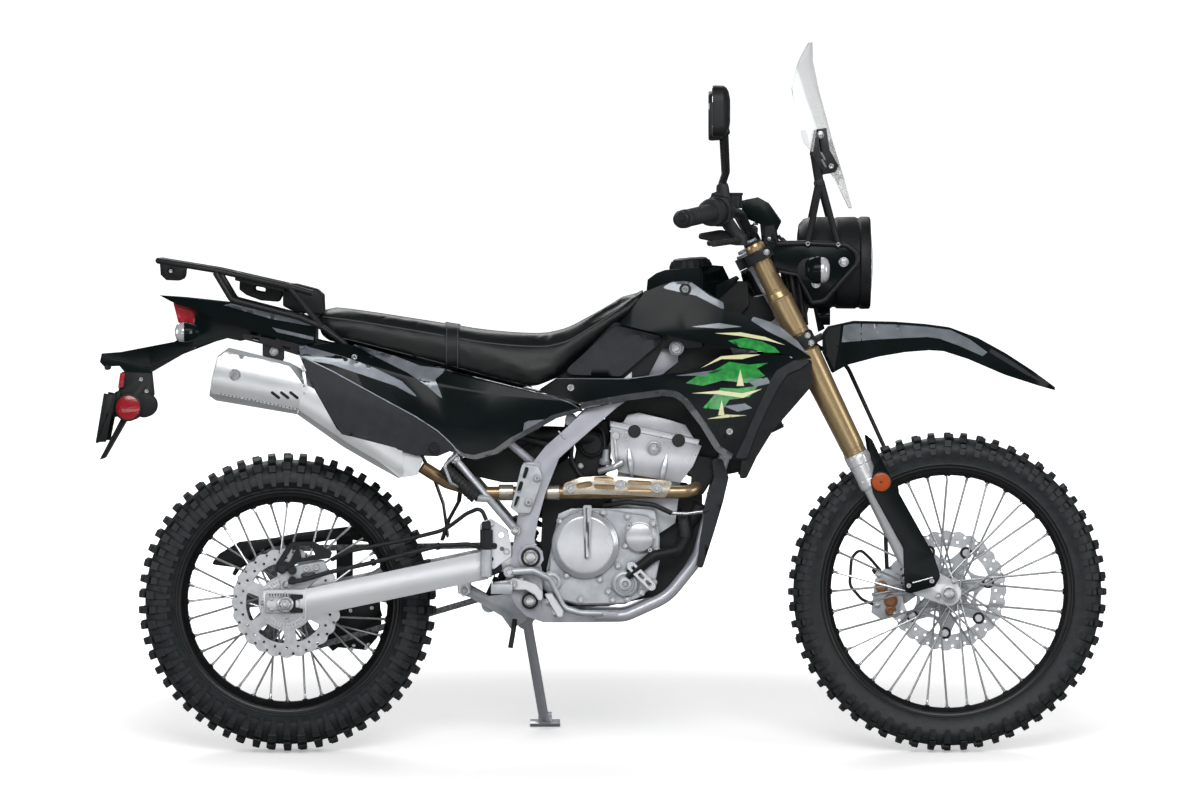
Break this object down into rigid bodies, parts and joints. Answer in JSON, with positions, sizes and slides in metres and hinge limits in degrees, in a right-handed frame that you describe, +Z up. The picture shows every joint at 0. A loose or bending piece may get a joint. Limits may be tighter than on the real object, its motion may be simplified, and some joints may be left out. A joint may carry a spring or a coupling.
{
  "type": "dual sport motorcycle",
  "caption": "Dual sport motorcycle leaning on its side stand, with knobby tyres, rear luggage rack and clear windscreen; steering, wheels and stand move.",
  "frame": {"origin": "on the ground, at the middle of the leaning motorcycle's bounding box", "axes": "+X forward, +Y to the rider's left, the side the machine leans to, +Z up"},
  "size_m": [2.2025, 0.9108, 1.5356],
  "materials": {
    "black_rim": "anodised black",
    "black_steel": "satin black paint",
    "bronze_steel": "heat tinted",
    "cast_alloy": "blasted",
    "chain_steel": "oiled",
    "clamp_alloy": "black anodised",
    "clear_lens": "gloss",
    "clear_screen": "clear",
    "cover_alloy": "brushed",
    "disc_steel": "ground",
    "frame_paint": "satin silver paint",
    "gloss_black": "gloss",
    "gold_alloy": "gold anodised",
    "lamp_red": "gloss",
    "matte_black": "matte",
    "mirror_shell": "matte",
    "polished_alloy": "polished",
    "satin_steel": "satin",
    "seat_vinyl": "grained vinyl",
    "soft_rubber": "matte",
    "spoke_steel": "bright",
    "tyre_rubber": "matte"
  },
  "bodies": {
    "chassis": {"airbox": "matte_black", "chain_guards": "matte_black", "cylinder_head": "cast_alloy", "drive_chain": "chain_steel", "engine_cases": "cast_alloy", "engine_covers": "cover_alloy", "exhaust_header": "bronze_steel", "foot_controls": "cast_alloy", "footpegs": "cast_alloy", "fuel_cap": "matte_black", "fuel_tank": "matte_black", "lower_shrouds": "gloss_black", "luggage_rack": "black_steel", "main_frame": "frame_paint", "muffler": "satin_steel", "plate_holder": "matte_black", "radiators": "matte_black", "rear_caliper": "cast_alloy", "rear_fender": "matte_black", "rear_hose": "soft_rubber", "rear_shock": "black_steel", "rear_signals": "clear_lens", "seat": "seat_vinyl", "shock_linkage": "cast_alloy", "side_covers": "gloss_black", "subframe": "black_steel", "swingarm": "polished_alloy", "tail_cover": "gloss_black", "tail_light": "lamp_red", "upper_shrouds": "gloss_black"},
    "front_wheel": {"front_tyre": "tyre_rubber", "front_rim": "black_rim", "front_spokes": "spoke_steel", "front_hub": "cast_alloy", "front_disc": "disc_steel"},
    "rear_wheel": {"rear_tyre": "tyre_rubber", "rear_rim": "black_rim", "rear_spokes": "spoke_steel", "rear_hub": "cast_alloy", "rear_disc": "disc_steel", "rear_sprocket": "chain_steel"},
    "side_stand": {"side_stand": "frame_paint"},
    "steering": {"triple_clamps": "clamp_alloy", "fork_tubes": "gold_alloy", "fork_sliders": "polished_alloy", "fork_guards": "matte_black", "handlebar": "black_steel", "hand_controls": "soft_rubber", "mirrors": "mirror_shell", "instrument_panel": "gloss_black", "headlight": "gloss_black", "headlight_bracket": "black_steel", "front_signals": "clear_lens", "windscreen": "clear_screen", "screen_stay": "black_steel", "front_fender": "gloss_black", "front_caliper": "cast_alloy", "front_hose": "soft_rubber"}
  },
  "joints": [
    {"name": "steering_turn", "type": "hinge", "parent": "chassis", "child": "steering", "pos_m": [0.36751, -0.07189, 0.96405], "axis": [-0.4415, 0.1558, 0.8836], "range_deg": [-45, 45]},
    {"name": "front_wheel_spin", "type": "hinge", "parent": "steering", "child": "front_wheel", "pos_m": [0.75275, -0.1812, 0.3441], "axis": [0, 0.9848, -0.1736], "continuous": true},
    {"name": "rear_wheel_spin", "type": "hinge", "parent": "chassis", "child": "rear_wheel", "pos_m": [-0.68725, -0.18511, 0.32194], "axis": [0, 0.9848, -0.1736], "continuous": true},
    {"name": "side_stand_fold", "type": "hinge", "parent": "chassis", "child": "side_stand", "pos_m": [-0.16725, -0.0514, 0.25673], "axis": [0.2168, 0.9339, 0.2844], "range_deg": [0, 105.39]}
  ]
}
